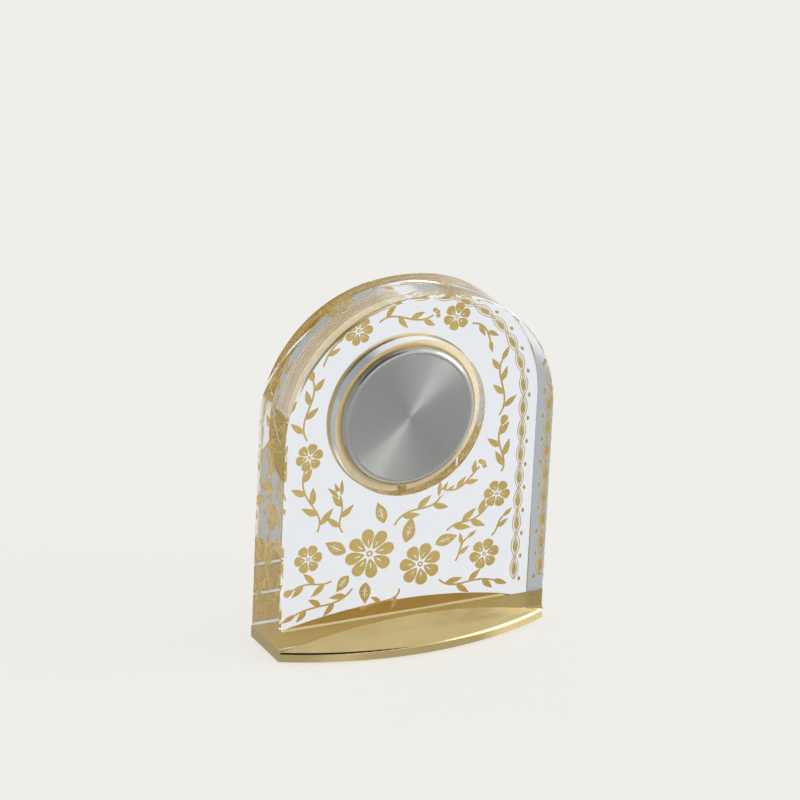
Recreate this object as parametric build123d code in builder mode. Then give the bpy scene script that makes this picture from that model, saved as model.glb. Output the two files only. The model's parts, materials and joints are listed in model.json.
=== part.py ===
"""Arched crystal table clock on a bowed gilt base, with a round quartz clock set in its front.

Frame: +Z up, origin under the middle of the base, and the dial faces -Y.
"""
import os
from math import atan2, cos, degrees, radians, sin, sqrt

from build123d import *

os.makedirs("parts", exist_ok=True)

# Glass block, in millimetres: an arch of two shoulder arcs and one crown arc
block_width = 100.0
block_depth = 22.0
spring_height = 73.8
shoulder_offset = 3.5
crown_gain = 20.0
arris = 0.4

# Base casting and the pad under it
pad_thickness = 0.8
pad_margin = 2.5
seat_plate = 4.2
lip_bulge = 11.3
lip_wall = 3.0
lip_rise = 6.4
lip_rounding = 1.0
bond_gap = 0.2

# Clear film with the print, on the front of the block
print_thickness = 0.12
print_margin = 0.6
print_foot_end = 1.5
print_foot_middle = 2.8
print_hole_margin = 0.4

# Blind recess cut into the front of the block
recess_space = 2.6
recess_depth = 7.5

# Case of the round clock; reaches are measured forwards from the front of the glass
bezel_overlap = 0.4
bezel_seat_gap = 0.05
bezel_lip = 0.5
bezel_wall = 0.5
bezel_crown = 0.4
view_rim = 1.5
flange_width = 1.7
flange_thickness = 0.6
drum_step = 0.8
drum_wall = 1.0
drum_back = -5.0
ledge_width = 1.2
case_fit = 0.1
lens_thickness = 1.0
lens_gasket_width = 0.6
rehaut_width = 1.5
dial_thickness = 0.4
spacer_thickness = 1.1
spacer_width = 1.8
plate_thickness = 0.6
back_gasket_thickness = 0.15
back_flat_radius = 22.4
back_shoulder = 2.2
back_height = 1.85
back_sheet = 0.5
back_plug = 0.4
grip_back = -3.4
grip_front = -0.1
grip_sleeve = 1.1
grip_fin = 0.5
grip_fin_count = 3
grip_fit = 0.1

# Teeth, as shares of the module and of the tooth pitch
addendum_share = 0.85
dedendum_share = 1.1
tip_share = 0.24
root_share = 0.52
running_fit = 0.06

# Going train: rotor, intermediate wheel, seconds wheel, third wheel, centre wheel
rotor_leaves = 6
intermediate_teeth = 36
intermediate_leaves = 8
seconds_teeth = 40
seconds_leaves = 8
third_teeth = 60
third_leaves = 8
centre_teeth = 64
centre_module = 0.16
seconds_module = 0.24
rotor_module = 0.16
third_angle = 20.0
intermediate_angle = 160.0
rotor_angle = 200.0
wheel_thickness = 0.25
train_gap = 0.05
level_step = 0.45
arbor_radius = 0.3
pivot_radius = 0.2
rotor_magnet_radius = 1.0

# Motion work: cannon pinion, minute wheel, hour wheel and setting wheel
cannon_leaves = 10
minute_teeth = 30
minute_leaves = 8
hour_teeth = 32
setting_teeth = 24
motion_module = 0.2
minute_angle = 250.0
setting_angle = 285.0
motion_thickness = 0.35
tube_wall = 0.37
stud_radius = 0.35

# Hands, with their rest angles clockwise from twelve
hand_thickness = 0.2
hub_thickness = 0.4
hour_reach = 12.5
minute_reach = 18.5
second_reach = 20.0
second_tail = 6.0
hour_hand_width = 1.9
minute_hand_width = 1.5
second_hand_width = 0.5
hub_wall = 0.7
hub_lift = 0.4
hand_gap = 0.5
hour_hand_angle = 304.8
minute_hand_angle = 57.6
second_hand_angle = 216.0

# Hour markers
marker_count = 12
marker_length = 3.4
marker_width = 0.9
marker_height = 0.3
marker_inset = 2.2

# Bridge, motor, circuit and cell behind the main plate
bridge_thickness = 0.45
post_radius = 0.9
screw_radius = 0.35
screw_head_radius = 0.75
screw_head = 0.1
post_places = ((11.9, 2.0), (-1.5, 7.6), (-1.5, -7.2))
stator_thickness = 0.35
stator_width = 3.0
stator_half_length = 6.5
stator_clearance = 0.3
coil_offset = 5.0
coil_radius = 0.6
coil_length = 9.0
core_width = 0.8
core_thickness = 0.4
cell_radius = 4.75
cell_thickness = 1.6
cell_place = (9.5, -11.5)
clip_thickness = 0.2
clip_width = 3.0
board_place = (-4.5, -13.5)
board_length = 13.0
board_width = 7.0
board_thickness = 0.4
chip_side = 2.6
chip_height = 0.7
can_radius = 0.7
can_length = 5.0

# Setting stem, pulled and turned from below
stem_radius = 0.4
stem_inner_reach = 12.2
stem_groove = 0.15
stem_groove_length = 0.5
knob_radius = 1.3
crown_length = 1.2
crown_gap = 0.3
crown_flutes = 16
flute_radius = 0.14
pull_piece_length = 3.0
pull_piece_width = 1.4

# Heights and places that follow from the sizes above
half_width = block_width / 2
half_depth = block_depth / 2
seat_z = pad_thickness + seat_plate
insert_z = seat_z + spring_height
front_y = -half_depth
shoulder_radius = half_width - shoulder_offset
arch_radius = shoulder_radius + crown_gain
crown_drop = sqrt(crown_gain**2 - shoulder_offset**2)
shoulder_sweep = degrees(atan2(crown_drop, shoulder_offset))
back_radius = back_flat_radius + back_shoulder
drum_radius = back_radius + drum_step
drum_inner = drum_radius - drum_wall
flange_radius = drum_radius + flange_width
view_radius = flange_radius - view_rim
recess_radius = drum_radius + recess_space
bezel_radius = recess_radius + bezel_overlap
bezel_seat = print_thickness + bezel_seat_gap
flange_front = bezel_seat + flange_thickness
lens_back = flange_front
lens_front = lens_back + lens_thickness
rabbet_front = lens_front + lens_gasket_width
bezel_bore = flange_radius + case_fit
lens_radius = flange_radius - lens_gasket_width
ledge_front = drum_back + lens_gasket_width
plate_front = ledge_front + plate_thickness
dial_back = plate_front + spacer_thickness
dial_front = dial_back + dial_thickness
stack_radius = drum_inner - case_fit
ledge_radius = drum_inner - ledge_width
back_seat = drum_back - back_gasket_thickness
back_face = back_seat - back_height
back_inside = back_face + back_sheet

insert_axis = Axis((0, front_y, insert_z), (0, -1, 0))
profile_plane = Plane(origin=(0, front_y, insert_z), x_dir=(1, 0, 0), z_dir=(0, 0, -1))


def face_plane(reach):
    """Plane parallel to the dial, at a reach in front of the glass."""
    return Plane(origin=(0, front_y - reach, insert_z), x_dir=(1, 0, 0), z_dir=(0, -1, 0))


def polar(radius, angle, centre=(0, 0)):
    """Point at a radius and an angle in degrees about a centre."""
    return (centre[0] + radius * cos(radians(angle)), centre[1] + radius * sin(radians(angle)))


def turned(*points):
    """Closed half section, as (radius, reach) points, to revolve about the clock's axis."""
    with BuildSketch(profile_plane) as section:
        with BuildLine():
            Polyline(*points, close=True)
        make_face()
    return section.sketch


def disc(reach, radius, centre=(0, 0), hole=0.0):
    """Round face parallel to the dial, with an optional hole."""
    with BuildSketch(face_plane(reach)) as face:
        with Locations(centre):
            Circle(radius)
            if hole:
                Circle(hole, mode=Mode.SUBTRACT)
    return face.sketch


def gear(reach, teeth, module, centre=(0, 0), aim=0.0, gap_first=False):
    """Toothed face with a tooth, or a gap, centred on the direction aim."""
    pitch = 360 / teeth
    root = module * (teeth / 2 - dedendum_share)
    tip = module * (teeth / 2 + addendum_share)
    start = aim + (pitch / 2 if gap_first else 0)
    points = []
    for tooth in range(teeth):
        middle = start + tooth * pitch
        points.append(polar(root, middle - pitch * root_share / 2, centre))
        points.append(polar(tip, middle - pitch * tip_share / 2, centre))
        points.append(polar(tip, middle + pitch * tip_share / 2, centre))
        points.append(polar(root, middle + pitch * root_share / 2, centre))
    with BuildSketch(face_plane(reach)) as face:
        with BuildLine():
            Polyline(*points, close=True)
        make_face()
    return face.sketch


def hand_plane(reach, clockwise):
    """Plane at a reach whose +Y direction points to an angle clockwise from twelve."""
    turn = radians(clockwise)
    across = (cos(turn), 0, -sin(turn))
    return Plane(origin=(0, front_y - reach, insert_z), x_dir=across, z_dir=(0, -1, 0))


def arch_face(reach, inset=0.0):
    """The block's arched outline, drawn in by an inset."""
    half = half_width - inset
    shoulder = shoulder_radius - inset
    arch = arch_radius - inset
    with BuildSketch(face_plane(reach)) as face:
        with BuildLine():
            CenterArc((shoulder_offset, 0), shoulder, 0, shoulder_sweep)
            CenterArc((0, -crown_drop), arch, shoulder_sweep, 180 - 2 * shoulder_sweep)
            CenterArc((-shoulder_offset, 0), shoulder, 180 - shoulder_sweep, shoulder_sweep)
            Polyline((-half, 0), (-half, -spring_height), (half, -spring_height), (half, 0))
        make_face()
    return face.sketch


# Base casting: a flat seat between two bowed lips turned about a far vertical axis
lip_radius = (half_width**2 + lip_bulge**2) / (2 * lip_bulge)
lip_axis_y = lip_radius - lip_bulge - half_depth
lip_top_z = pad_thickness + lip_wall
dome_drop = (half_width**2 / lip_rise - lip_rise) / 2
dome_radius = sqrt(lip_radius**2 + dome_drop**2)
lip_root_radius = lip_radius - lip_bulge - block_depth / 4


def dome_z(radius):
    """Height of the lip's domed top at a distance from the far axis."""
    return lip_top_z - dome_drop + sqrt(dome_radius**2 - radius**2)


lip_middle_radius = (lip_root_radius + lip_radius) / 2
lip_plane = Plane(origin=(0, lip_axis_y, 0), x_dir=(0, -1, 0), z_dir=(-1, 0, 0))
with BuildPart() as front_lip:
    with BuildSketch(lip_plane) as lip_section:
        with BuildLine():
            Polyline(
                (lip_root_radius, dome_z(lip_root_radius)),
                (lip_root_radius, pad_thickness),
                (lip_radius, pad_thickness),
                (lip_radius, lip_top_z),
            )
            ThreePointArc(
                (lip_radius, lip_top_z),
                (lip_middle_radius, dome_z(lip_middle_radius)),
                (lip_root_radius, dome_z(lip_root_radius)),
            )
        make_face()
        fillet(lip_section.vertices().group_by(Axis.X)[-1].sort_by(Axis.Y)[-1], lip_rounding)
    revolve(axis=Axis((0, lip_axis_y, 0), (0, 0, 1)))
    with Locations((0, -half_depth, pad_thickness)):
        Box(
            block_width,
            2 * lip_bulge,
            2 * (lip_wall + lip_rise),
            align=(Align.CENTER, Align.MAX, Align.MIN),
            mode=Mode.INTERSECT,
        )

with BuildPart() as base_casting:
    with Locations((0, 0, pad_thickness)):
        Box(block_width, block_depth, seat_plate, align=(Align.CENTER, Align.CENTER, Align.MIN))
    add(front_lip.part)
    add(front_lip.part.mirror(Plane.XZ))
    with Locations((0, 0, seat_z)):
        Box(
            block_width,
            block_depth + 2 * bond_gap,
            lip_wall + lip_rise,
            align=(Align.CENTER, Align.CENTER, Align.MIN),
            mode=Mode.SUBTRACT,
        )
base_casting.part.label = "base_casting"
export_step(base_casting.part, "parts/base_casting.step")

# Pad: thin felt sheet under the casting, drawn in from its edge
with BuildPart() as base_pad:
    with BuildSketch(Plane.XY):
        with BuildLine():
            ThreePointArc((-half_width, -half_depth), (0, -half_depth - lip_bulge), (half_width, -half_depth))
            Line((half_width, -half_depth), (half_width, half_depth))
            ThreePointArc((half_width, half_depth), (0, half_depth + lip_bulge), (-half_width, half_depth))
            Line((-half_width, half_depth), (-half_width, -half_depth))
        make_face()
        offset(amount=-pad_margin)
    extrude(amount=pad_thickness)
base_pad.part.label = "base_pad"
export_step(base_pad.part, "parts/base_pad.step")

# Glass block: polished arch with narrow arrises and a blind round recess
with BuildPart() as glass_block:
    extrude(arch_face(0), amount=-block_depth)
    rims = glass_block.faces().sort_by(Axis.Y)
    chamfer(rims[0].edges() + rims[-1].edges(), arris)
    revolve(
        turned(
            (0, arris),
            (recess_radius, arris),
            (recess_radius, -recess_depth),
            (0, -recess_depth),
        ),
        axis=insert_axis,
        mode=Mode.SUBTRACT,
    )
glass_block.part.label = "glass_block"
export_step(glass_block.part, "parts/glass_block.step")

# Print film: clear carrier of the gold print, open round the clock, with a bowed foot
with BuildPart() as print_film:
    extrude(arch_face(0, print_margin), amount=print_thickness)
    with BuildSketch(face_plane(0)):
        with BuildLine():
            foot_end = print_foot_end - spring_height
            foot_middle = print_foot_middle - spring_height
            ThreePointArc((-half_width, foot_end), (0, foot_middle), (half_width, foot_end))
            Polyline(
                (half_width, foot_end),
                (half_width, -spring_height - print_margin),
                (-half_width, -spring_height - print_margin),
                (-half_width, foot_end),
            )
        make_face()
        Circle(recess_radius + print_hole_margin)
    extrude(amount=print_thickness, mode=Mode.SUBTRACT)
print_film.part.label = "print_film"
export_step(print_film.part, "parts/print_film.step")

# Case drum: gilt tube with a front flange and an inner ledge for the movement
with BuildPart() as case_drum:
    revolve(
        turned(
            (ledge_radius, drum_back),
            (drum_radius, drum_back),
            (drum_radius, bezel_seat),
            (flange_radius, bezel_seat),
            (flange_radius, flange_front),
            (drum_inner, flange_front),
            (drum_inner, ledge_front),
            (ledge_radius, ledge_front),
        ),
        axis=insert_axis,
    )
    stem_reach = plate_front + spacer_thickness / 2
    stem_plane = Plane(
        origin=(0, front_y - stem_reach, insert_z - stem_inner_reach), x_dir=(1, 0, 0), z_dir=(0, 0, -1)
    )
    with BuildSketch(stem_plane):
        Circle(stem_radius + running_fit)
    extrude(amount=drum_radius, mode=Mode.SUBTRACT)
case_drum.part.label = "case_drum"
export_step(case_drum.part, "parts/case_drum.step")

# Bezel: gilt ring with a rounded crown over the edge of the lens
with BuildPart() as bezel:
    with BuildSketch(profile_plane) as bezel_section:
        with BuildLine():
            Polyline(
                (view_radius, rabbet_front),
                (bezel_bore, rabbet_front),
                (bezel_bore, bezel_seat),
                (bezel_radius, bezel_seat),
                (bezel_radius, bezel_seat + bezel_wall),
            )
            Spline(
                (bezel_radius, bezel_seat + bezel_wall),
                (bezel_bore + bezel_crown, rabbet_front + bezel_lip),
                (view_radius, rabbet_front + bezel_lip / 2),
                tangents=((0, 1), (-1, -1)),
            )
            Line((view_radius, rabbet_front + bezel_lip / 2), (view_radius, rabbet_front))
        make_face()
    revolve(axis=insert_axis)
bezel.part.label = "bezel"
export_step(bezel.part, "parts/bezel.step")

# Lens and its soft gasket, which wraps the edge and front rim of the lens
with BuildPart() as lens:
    extrude(disc(lens_back, lens_radius), amount=lens_thickness)
lens.part.label = "lens"
export_step(lens.part, "parts/lens.step")

with BuildPart() as lens_gasket:
    revolve(
        turned(
            (lens_radius, lens_back),
            (flange_radius, lens_back),
            (flange_radius, rabbet_front),
            (view_radius, rabbet_front),
            (view_radius, lens_front),
            (lens_radius, lens_front),
        ),
        axis=insert_axis,
    )
lens_gasket.part.label = "lens_gasket"
export_step(lens_gasket.part, "parts/lens_gasket.step")

# Rehaut: sloping ring that holds the dial down behind the lens
with BuildPart() as rehaut:
    revolve(
        turned(
            (stack_radius - rehaut_width, dial_front),
            (stack_radius, dial_front),
            (stack_radius, lens_back),
            (stack_radius - rehaut_width / 3, lens_back),
        ),
        axis=insert_axis,
    )
rehaut.part.label = "rehaut"
export_step(rehaut.part, "parts/rehaut.step")

# Bores up the middle, from the seconds arbor out to the dial
cannon_bore = arbor_radius + running_fit
cannon_radius = cannon_bore + tube_wall
hour_bore = cannon_radius + running_fit
hour_radius = hour_bore + tube_wall
dial_bore = hour_radius + running_fit

# Dial with its applied hour markers
with BuildPart() as dial:
    extrude(disc(dial_back, stack_radius, hole=dial_bore), amount=dial_thickness)
dial.part.label = "dial"
export_step(dial.part, "parts/dial.step")

marker_radius = stack_radius - rehaut_width - marker_inset - marker_length / 2
for hour in range(1, marker_count + 1):
    with BuildPart() as hour_marker:
        with BuildSketch(hand_plane(dial_front, hour * 360 / marker_count)):
            with Locations((0, marker_radius)):
                Rectangle(marker_width, marker_length)
        extrude(amount=marker_height)
        chamfer(hour_marker.faces().sort_by(Axis.Y)[0].edges(), marker_height / 2)
    hour_marker.part.label = f"hour_marker_{hour:02d}"
    export_step(hour_marker.part, f"parts/hour_marker_{hour:02d}.step")

# Spacer ring between the dial and the main plate, notched for the stem
with BuildPart() as dial_spacer:
    extrude(disc(plate_front, stack_radius, hole=stack_radius - spacer_width), amount=spacer_thickness)
    with BuildSketch(stem_plane):
        Rectangle(2 * (stem_radius + case_fit), 2 * spacer_thickness)
    extrude(amount=drum_radius, mode=Mode.SUBTRACT)
dial_spacer.part.label = "dial_spacer"
export_step(dial_spacer.part, "parts/dial_spacer.step")

# Levels of the going train, from the main plate backwards
plate_back = ledge_front
centre_level = plate_back - train_gap - wheel_thickness
third_level = centre_level - level_step
seconds_level = third_level - level_step
bridge_front = seconds_level - 2 * train_gap - wheel_thickness / 2
bridge_back = bridge_front - bridge_thickness
third_distance = centre_module * (centre_teeth + third_leaves) / 2
third_module = 2 * third_distance / (third_teeth + seconds_leaves)
intermediate_distance = seconds_module * (seconds_teeth + intermediate_leaves) / 2
rotor_distance = rotor_module * (intermediate_teeth + rotor_leaves) / 2
third_place = polar(third_distance, third_angle)
intermediate_place = polar(intermediate_distance, intermediate_angle)
rotor_place = polar(rotor_distance, rotor_angle, intermediate_place)
pivot_places = (third_place, intermediate_place, rotor_place)

# Levels of the motion work, from the main plate forwards
cannon_level = plate_front + train_gap
hour_level = cannon_level + motion_thickness + 2 * train_gap
minute_distance = motion_module * (cannon_leaves + minute_teeth) / 2
setting_distance = motion_module * (minute_teeth + setting_teeth) / 2
minute_place = polar(minute_distance, minute_angle)
setting_place = polar(setting_distance, setting_angle, minute_place)
stud_height = spacer_thickness - 2 * train_gap

# Main plate: carries the train behind it and two studs for the motion work in front
with BuildPart() as main_plate:
    extrude(disc(plate_back, stack_radius, hole=cannon_radius + running_fit), amount=plate_thickness)
    with BuildSketch(face_plane(plate_back)):
        with Locations(*pivot_places):
            Circle(pivot_radius + running_fit)
    extrude(amount=plate_thickness, mode=Mode.SUBTRACT)
    with BuildSketch(face_plane(plate_back)):
        with Locations(*post_places):
            Circle(screw_radius)
    extrude(amount=plate_thickness, mode=Mode.SUBTRACT)
    with BuildSketch(face_plane(plate_front)):
        with Locations(minute_place, setting_place):
            Circle(stud_radius)
    extrude(amount=stud_height)
main_plate.part.label = "main_plate"
export_step(main_plate.part, "parts/main_plate.step")

# Train bridge: rear plate on three posts, with the rear pivot holes
with BuildPart() as train_bridge:
    with BuildSketch(face_plane(bridge_back)) as bridge_face:
        for place in (*post_places, rotor_place, (0, 0)):
            with Locations(place):
                Circle(2 * post_radius)
        make_hull()
        with Locations((0, 0), *pivot_places):
            Circle(pivot_radius + running_fit, mode=Mode.SUBTRACT)
    extrude(amount=bridge_thickness)
    with BuildSketch(face_plane(bridge_front)):
        with Locations(*post_places):
            Circle(post_radius)
    extrude(amount=plate_back - bridge_front)
    with BuildSketch(face_plane(bridge_back)):
        with Locations(*post_places):
            Circle(screw_radius)
    extrude(amount=plate_back - bridge_back, mode=Mode.SUBTRACT)
train_bridge.part.label = "train_bridge"
export_step(train_bridge.part, "parts/train_bridge.step")

for number, place in enumerate(post_places, 1):
    with BuildPart() as bridge_screw:
        extrude(disc(bridge_back, screw_radius, place), amount=plate_front - bridge_back)
        extrude(disc(bridge_back, screw_head_radius, place), amount=-screw_head)
        with BuildSketch(face_plane(bridge_back - screw_head)):
            with Locations(place):
                Rectangle(2 * screw_head_radius, screw_radius / 2)
        extrude(amount=screw_head / 2, mode=Mode.SUBTRACT)
    bridge_screw.part.label = f"bridge_screw_{number}"
    export_step(bridge_screw.part, f"parts/bridge_screw_{number}.step")

# Seconds wheel: wheel, pinion and long arbor in one, through to the seconds hand
hub_reach_hour = dial_front + hub_lift
hub_reach_minute = hub_reach_hour + hub_thickness + hand_gap
hub_reach_second = hub_reach_minute + hub_thickness + hand_gap
arbor_front = hub_reach_second + hub_thickness
with BuildPart() as seconds_wheel:
    extrude(gear(seconds_level, seconds_teeth, seconds_module, aim=intermediate_angle, gap_first=True),
            amount=wheel_thickness)
    extrude(gear(third_level, seconds_leaves, third_module, aim=third_angle), amount=wheel_thickness)
    extrude(disc(seconds_level, arbor_radius), amount=arbor_front - seconds_level)
    extrude(disc(bridge_back, pivot_radius), amount=seconds_level - bridge_back)
seconds_wheel.part.label = "seconds_wheel"
export_step(seconds_wheel.part, "parts/seconds_wheel.step")

# Third wheel: driven by the seconds pinion, its own pinion drives the centre wheel
with BuildPart() as third_wheel:
    extrude(gear(third_level, third_teeth, third_module, third_place, 180 + third_angle, True),
            amount=wheel_thickness)
    extrude(gear(centre_level, third_leaves, centre_module, third_place, 180 + third_angle),
            amount=wheel_thickness)
    extrude(disc(third_level, arbor_radius, third_place), amount=centre_level - third_level)
    extrude(disc(bridge_back, pivot_radius, third_place), amount=plate_front - bridge_back)
third_wheel.part.label = "third_wheel"
export_step(third_wheel.part, "parts/third_wheel.step")

# Centre wheel: rides on the foot of the cannon pinion and slips on it while the hands are set
with BuildPart() as centre_wheel:
    extrude(gear(centre_level, centre_teeth, centre_module, aim=third_angle, gap_first=True),
            amount=wheel_thickness)
    extrude(disc(centre_level, cannon_radius + running_fit), amount=wheel_thickness, mode=Mode.SUBTRACT)
centre_wheel.part.label = "centre_wheel"
export_step(centre_wheel.part, "parts/centre_wheel.step")

# Intermediate wheel: between the rotor pinion and the seconds wheel
with BuildPart() as intermediate_wheel:
    extrude(gear(third_level, intermediate_teeth, rotor_module, intermediate_place, rotor_angle, True),
            amount=wheel_thickness)
    extrude(gear(seconds_level, intermediate_leaves, seconds_module, intermediate_place,
                 180 + intermediate_angle), amount=wheel_thickness)
    extrude(disc(seconds_level, arbor_radius, intermediate_place), amount=third_level - seconds_level)
    extrude(disc(bridge_back, pivot_radius, intermediate_place), amount=plate_front - bridge_back)
intermediate_wheel.part.label = "intermediate_wheel"
export_step(intermediate_wheel.part, "parts/intermediate_wheel.step")

# Rotor: round magnet with a small pinion, turning in the stator's eye
with BuildPart() as rotor:
    extrude(disc(seconds_level, rotor_magnet_radius, rotor_place), amount=level_step - train_gap)
    extrude(gear(third_level, rotor_leaves, rotor_module, rotor_place, 180 + rotor_angle),
            amount=wheel_thickness)
    extrude(disc(bridge_back, pivot_radius, rotor_place), amount=plate_front - bridge_back)
rotor.part.label = "rotor"
export_step(rotor.part, "parts/rotor.step")

# Stator: soft-iron plate with an eye for the rotor and two feet for the coil core
coil_x = rotor_place[0] - coil_offset
stator_back = seconds_level - train_gap
stator_front = stator_back + stator_thickness
with BuildPart() as stator:
    with BuildSketch(face_plane(stator_back)):
        with Locations(rotor_place):
            Rectangle(stator_width, 2 * stator_half_length)
        with Locations((rotor_place[0], rotor_place[1] + stator_half_length),
                       (rotor_place[0], rotor_place[1] - stator_half_length)):
            Rectangle(coil_offset + core_width, stator_width / 2, align=(Align.MAX, Align.CENTER))
        with Locations(rotor_place):
            Circle(rotor_magnet_radius + stator_clearance, mode=Mode.SUBTRACT)
    extrude(amount=stator_thickness)
stator.part.label = "stator"
export_step(stator.part, "parts/stator.step")

# Coil core lies across the stator's feet, with the winding round its middle
core_middle = stator_front + core_thickness / 2
with BuildPart() as coil_core:
    with BuildSketch(face_plane(stator_front)):
        with Locations((coil_x, rotor_place[1])):
            Rectangle(core_width, 2 * stator_half_length + stator_width / 2)
    extrude(amount=core_thickness)
coil_core.part.label = "coil_core"
export_step(coil_core.part, "parts/coil_core.step")

with BuildPart() as coil:
    coil_plane = Plane(
        origin=(coil_x, front_y - core_middle, insert_z + rotor_place[1] - coil_length / 2),
        x_dir=(1, 0, 0),
        z_dir=(0, 0, 1),
    )
    with BuildSketch(coil_plane):
        Circle(coil_radius)
        Rectangle(core_width, core_thickness, mode=Mode.SUBTRACT)
    extrude(amount=coil_length)
coil.part.label = "coil"
export_step(coil.part, "parts/coil.step")

# Circuit board on the main plate, with its chip, and the crystal's round can beside the chip
board_back = plate_back - board_thickness
with BuildPart() as circuit_board:
    with BuildSketch(face_plane(board_back)):
        with Locations(board_place):
            Rectangle(board_length, board_width)
    extrude(amount=board_thickness)
    with BuildSketch(face_plane(board_back)):
        with Locations(board_place):
            Rectangle(chip_side, chip_side)
    extrude(amount=-chip_height)
circuit_board.part.label = "circuit_board"
export_step(circuit_board.part, "parts/circuit_board.step")

with BuildPart() as crystal_can:
    can_plane = Plane(
        origin=(board_place[0] - board_length / 2 + train_gap, front_y - board_back + can_radius,
                insert_z + board_place[1]),
        x_dir=(0, 1, 0),
        z_dir=(1, 0, 0),
    )
    with BuildSketch(can_plane):
        Circle(can_radius)
    extrude(amount=can_length)
crystal_can.part.label = "crystal_can"
export_step(crystal_can.part, "parts/crystal_can.step")

# Button cell on the main plate and the spring clip that bears on its back
cell_back = plate_back - cell_thickness
with BuildPart() as battery:
    extrude(disc(cell_back, cell_radius, cell_place), amount=cell_thickness)
    fillet(battery.faces().sort_by(Axis.Y)[-1].edges(), clip_thickness)
battery.part.label = "battery"
export_step(battery.part, "parts/battery.step")

with BuildPart() as battery_clip:
    clip_inner = board_place[0] + board_length / 2 - clip_width
    clip_outer = cell_place[0]
    with BuildSketch(face_plane(cell_back)):
        with Locations((clip_inner, cell_place[1])):
            Rectangle(clip_outer - clip_inner, clip_width, align=(Align.MIN, Align.CENTER))
    extrude(amount=-clip_thickness)
    with BuildSketch(face_plane(board_back)):
        with Locations((clip_inner, cell_place[1])):
            Rectangle(clip_thickness, clip_width, align=(Align.MIN, Align.CENTER))
    extrude(amount=cell_back - board_back)
battery_clip.part.label = "battery_clip"
export_step(battery_clip.part, "parts/battery_clip.step")

# Cannon pinion: tube for the minute hand, with leaves that drive the minute wheel
with BuildPart() as cannon_pinion:
    extrude(disc(centre_level, cannon_radius), amount=hub_reach_minute + hub_thickness - centre_level)
    extrude(gear(cannon_level, cannon_leaves, motion_module, aim=minute_angle), amount=motion_thickness)
    extrude(disc(centre_level, cannon_bore), amount=arbor_front - centre_level, mode=Mode.SUBTRACT)
cannon_pinion.part.label = "cannon_pinion"
export_step(cannon_pinion.part, "parts/cannon_pinion.step")

# Minute wheel on its stud, with the pinion that drives the hour wheel
with BuildPart() as minute_wheel:
    extrude(gear(cannon_level, minute_teeth, motion_module, minute_place, 180 + minute_angle, True),
            amount=motion_thickness)
    extrude(gear(cannon_level + motion_thickness, minute_leaves, motion_module, minute_place,
                 180 + minute_angle), amount=hour_level - cannon_level)
    extrude(disc(cannon_level, stud_radius + running_fit, minute_place),
            amount=hour_level - cannon_level + motion_thickness, mode=Mode.SUBTRACT)
minute_wheel.part.label = "minute_wheel"
export_step(minute_wheel.part, "parts/minute_wheel.step")

# Hour wheel: toothed wheel and tube that carries the hour hand
with BuildPart() as hour_wheel:
    extrude(gear(hour_level, hour_teeth, motion_module, aim=minute_angle, gap_first=True),
            amount=motion_thickness)
    extrude(disc(hour_level, hour_radius), amount=hub_reach_hour + hub_thickness - hour_level)
    extrude(disc(hour_level, hour_bore), amount=hub_reach_hour + hub_thickness - hour_level,
            mode=Mode.SUBTRACT)
hour_wheel.part.label = "hour_wheel"
export_step(hour_wheel.part, "parts/hour_wheel.step")

# Setting wheel: idles on the minute wheel until the stem is pulled out to meet it
with BuildPart() as setting_wheel:
    extrude(gear(cannon_level, setting_teeth, motion_module, setting_place, 180 + setting_angle),
            amount=motion_thickness)
    extrude(disc(cannon_level, stud_radius + running_fit, setting_place), amount=motion_thickness,
            mode=Mode.SUBTRACT)
setting_wheel.part.label = "setting_wheel"
export_step(setting_wheel.part, "parts/setting_wheel.step")

# Hands: tapered blades on round hubs
for name, reach, clockwise, bore, length, tail, width in (
    ("hour_hand", hub_reach_hour, hour_hand_angle, hour_radius, hour_reach, 0, hour_hand_width),
    ("minute_hand", hub_reach_minute, minute_hand_angle, cannon_radius, minute_reach, 0, minute_hand_width),
    ("second_hand", hub_reach_second, second_hand_angle, arbor_radius, second_reach, second_tail,
     second_hand_width),
):
    with BuildPart() as hand:
        with BuildSketch(hand_plane(reach, clockwise)):
            with BuildLine():
                Polyline(
                    (-width / 4, -tail),
                    (-width / 2, length / 2),
                    (0, length),
                    (width / 2, length / 2),
                    (width / 4, -tail),
                    close=True,
                )
            make_face()
        extrude(amount=hand_thickness)
        extrude(disc(reach, bore + hub_wall), amount=hub_thickness)
        extrude(disc(reach, bore), amount=hub_thickness, mode=Mode.SUBTRACT)
    hand.part.label = name
    export_step(hand.part, f"parts/{name}.step")

# Case back: spun steel cap with a flat back, a rounded shoulder and a plug that snaps into the drum
back_bore = ledge_radius - case_fit - back_sheet
with BuildPart() as case_back:
    with BuildSketch(profile_plane):
        with BuildLine():
            Polyline(
                (back_radius, back_seat - back_height / 4),
                (back_radius, back_seat),
                (ledge_radius - case_fit, back_seat),
                (ledge_radius - case_fit, drum_back + back_plug),
                (back_bore, drum_back + back_plug),
                (back_bore, back_inside + back_sheet),
                (back_bore - back_sheet, back_inside),
                (0, back_inside),
                (0, back_face),
                (back_flat_radius, back_face),
            )
            EllipticalCenterArc(
                (back_flat_radius, back_seat - back_height / 4),
                back_radius - back_flat_radius,
                back_height * 3 / 4,
                start_angle=270,
                arc_size=90,
            )
        make_face()
    revolve(axis=insert_axis)
case_back.part.label = "case_back"
export_step(case_back.part, "parts/case_back.step")

with BuildPart() as back_gasket:
    extrude(disc(back_seat, back_radius - case_fit, hole=ledge_radius), amount=back_gasket_thickness)
back_gasket.part.label = "back_gasket"
export_step(back_gasket.part, "parts/back_gasket.step")

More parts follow.
